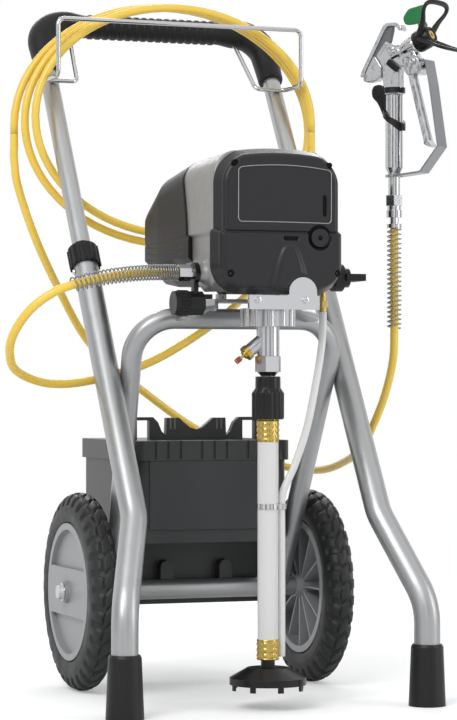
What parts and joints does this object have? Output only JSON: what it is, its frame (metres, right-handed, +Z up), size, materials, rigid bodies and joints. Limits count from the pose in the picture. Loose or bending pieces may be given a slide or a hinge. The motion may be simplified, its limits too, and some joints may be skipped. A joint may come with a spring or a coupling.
{
  "type": "airless paint sprayer",
  "caption": "Electric airless paint sprayer on a two-wheeled tube cart with a piston pump, suction tube, coiled hose on a folding hook handle, spray gun and tool box.",
  "frame": {"origin": "middle of the footprint of the cart and its gun on the floor, the hose left out", "axes": "+Z up, +X to the user's right when facing the front cover, +Y from the front cover to the handle"},
  "size_m": [0.7333, 0.6339, 1.0671],
  "materials": {
    "frame_steel": "satin zinc plating on tube",
    "handle_steel": "polished plating on tube",
    "axle_steel": "plain ground steel",
    "bright_steel": "bright plating",
    "foot_rubber": "matt black rubber",
    "grip_rubber": "soft black rubber",
    "tyre_rubber": "matt black tread",
    "black_plastic": "fine grained black",
    "cover_plastic": "dark grey moulding",
    "box_plastic": "dark grey moulding",
    "rim_paint": "silver paint",
    "cast_metal": "bead blasted casting",
    "gun_alloy": "polished casting",
    "pump_steel": "turned steel",
    "brass": "bright turned brass",
    "clear_tube": "milky tube",
    "hose_skin": "yellow hose jacket",
    "tip_green": "green moulding on a steel tip",
    "winding": "varnished windings",
    "gear_steel": "oiled gear steel"
  },
  "bodies": {
    "cart": {"leg_tube_left": "frame_steel", "leg_tube_right": "frame_steel", "u_frame": "frame_steel", "axle_shaft": "axle_steel", "axle_caps": "bright_steel", "rubber_feet": "foot_rubber", "tube_bushes": "black_plastic", "bush_rivets": "bright_steel", "motor_bracket": "frame_steel", "gear_housing": "cast_metal", "front_cover": "cover_plastic", "housing_screws": "axle_steel", "motor_shroud": "black_plastic", "motor_stator": "winding", "pump_body": "pump_steel", "inlet_nut": "bright_steel", "drip_shield": "bright_steel", "outlet_nipple": "bright_steel", "knob_bracket": "black_plastic", "brass_ferrules": "brass", "suction_tube": "clear_tube", "tube_clamp": "bright_steel", "return_fitting": "brass", "return_tube": "clear_tube", "suction_strainer": "black_plastic", "tool_box": "box_plastic", "cable_gland": "black_plastic", "hose_pump_lead": "hose_skin", "hose_gun_lead": "hose_skin", "pump_spring_guard": "bright_steel", "gun_spring_guard": "bright_steel", "hose_swivel": "bright_steel"},
    "wheel_left": {"wheel_rim_left": "rim_paint", "tyre_left": "tyre_rubber"},
    "wheel_right": {"wheel_rim_right": "rim_paint", "tyre_right": "tyre_rubber"},
    "handle": {"handle_tube": "handle_steel", "hand_grip": "grip_rubber", "hose_hook": "bright_steel", "hose_coil": "hose_skin"},
    "collar_left": {"lock_collar_left": "black_plastic"},
    "collar_right": {"lock_collar_right": "black_plastic"},
    "pressure_control": {"pressure_knob": "black_plastic"},
    "prime_control": {"prime_knob": "black_plastic"},
    "oiler": {"oiler_button": "axle_steel"},
    "pusher": {"inlet_pusher": "brass"},
    "suction_swivel": {"suction_nut": "black_plastic"},
    "lid": {"box_lid": "box_plastic"},
    "gun": {"gun_body": "gun_alloy", "gun_grip_tube": "gun_alloy", "finger_guard": "axle_steel", "grip_rest": "black_plastic"},
    "trigger": {"gun_trigger": "gun_alloy"},
    "lock": {"trigger_lock": "black_plastic"},
    "needle": {"gun_needle": "axle_steel"},
    "guard": {"tip_guard": "black_plastic"},
    "tip": {"spray_tip": "tip_green"},
    "armature": {"rotor": "winding"},
    "crank": {"crank_gear": "gear_steel"},
    "piston": {"piston_rod": "gear_steel"}
  },
  "joints": [
    {"name": "wheel_left_spin", "type": "hinge", "parent": "cart", "child": "wheel_left", "pos_m": [-0.2415, 0.06536, 0.15], "axis": [1, 0, 0], "continuous": true},
    {"name": "wheel_right_spin", "type": "hinge", "parent": "cart", "child": "wheel_right", "pos_m": [0.1325, 0.06536, 0.15], "axis": [1, 0, 0], "continuous": true},
    {"name": "handle_slide", "type": "slide", "parent": "cart", "child": "handle", "axis": [0, -0.5446, -0.8387], "range_m": [0, 0.09], "deforming": ["hose_pump_lead", "hose_gun_lead"]},
    {"name": "collar_left_twist", "type": "hinge", "parent": "cart", "child": "collar_left", "pos_m": [-0.243, 0.04745, 0.664], "axis": [0, 0.5446, 0.8387], "range_deg": [0, 60]},
    {"name": "collar_right_twist", "type": "hinge", "parent": "cart", "child": "collar_right", "pos_m": [0.134, 0.04745, 0.664], "axis": [0, 0.5446, 0.8387], "range_deg": [0, 60]},
    {"name": "pressure_knob_turn", "type": "hinge", "parent": "cart", "child": "pressure_control", "pos_m": [-0.1708, -0.22764, 0.579], "axis": [1, 0, 0], "range_deg": [0, 300]},
    {"name": "prime_knob_turn", "type": "hinge", "parent": "cart", "child": "prime_control", "pos_m": [0.0468, -0.23764, 0.618], "axis": [1, 0, 0], "range_deg": [0, 90]},
    {"name": "oiler_press", "type": "slide", "parent": "cart", "child": "oiler", "axis": [0, 1, 0], "range_m": [0, 0.004], "stiffness_N_per_m": 400},
    {"name": "inlet_push", "type": "slide", "parent": "cart", "child": "pusher", "axis": [0.7828, 0, 0.6222], "range_m": [0, 0.003], "stiffness_N_per_m": 600},
    {"name": "suction_nut_turn", "type": "hinge", "parent": "cart", "child": "suction_swivel", "pos_m": [-0.0545, -0.24264, 0.445], "axis": [0, 0, 1], "continuous": true},
    {"name": "lid_lift", "type": "slide", "parent": "cart", "child": "lid", "axis": [0, 0, 1], "range_m": [0, 0.12]},
    {"name": "gun_swivel", "type": "hinge", "parent": "cart", "child": "gun", "pos_m": [0.2235, -0.05764, 0.765], "axis": [0, 0, 1], "continuous": true},
    {"name": "trigger_pull", "type": "hinge", "parent": "gun", "child": "trigger", "pos_m": [0.2453, -0.08877, 0.956], "axis": [0.8192, 0.5736, 0], "range_deg": [0, 12], "stiffness_Nm_per_rad": 2},
    {"name": "trigger_lock_turn", "type": "hinge", "parent": "gun", "child": "lock", "pos_m": [0.21934, -0.06617, 0.952], "axis": [0.8192, 0.5736, 0], "range_deg": [0, 90]},
    {"name": "needle_draw", "type": "slide", "parent": "gun", "child": "needle", "axis": [-0.5318, 0.7595, -0.3746], "range_m": [0, 0.003], "stiffness_N_per_m": 800},
    {"name": "guard_turn", "type": "hinge", "parent": "gun", "child": "guard", "pos_m": [0.24988, -0.09532, 0.98718], "axis": [0.5318, -0.7595, 0.3746], "range_deg": [0, 90]},
    {"name": "tip_turn", "type": "hinge", "parent": "guard", "child": "tip", "pos_m": [0.2568, -0.10519, 0.99205], "axis": [0.2149, -0.3069, -0.9272], "range_deg": [0, 180]},
    {"name": "crank_spin", "type": "hinge", "parent": "cart", "child": "crank", "pos_m": [-0.0545, -0.16964, 0.65], "axis": [0, 1, 0], "continuous": true},
    {"name": "rotor_spin", "type": "hinge", "parent": "cart", "child": "armature", "pos_m": [-0.0545, -0.16964, 0.704], "axis": [0, 1, 0], "continuous": true},
    {"name": "piston_stroke", "type": "slide", "parent": "cart", "child": "piston", "axis": [0, 0, 1], "range_m": [-0.005, 0.005]}
  ],
  "couplings": [
    {"joint": "needle_draw", "follows": "trigger_pull", "m_per_rad": 0.0143},
    {"joint": "rotor_spin", "follows": "crank_spin", "ratio": -5}
  ]
}
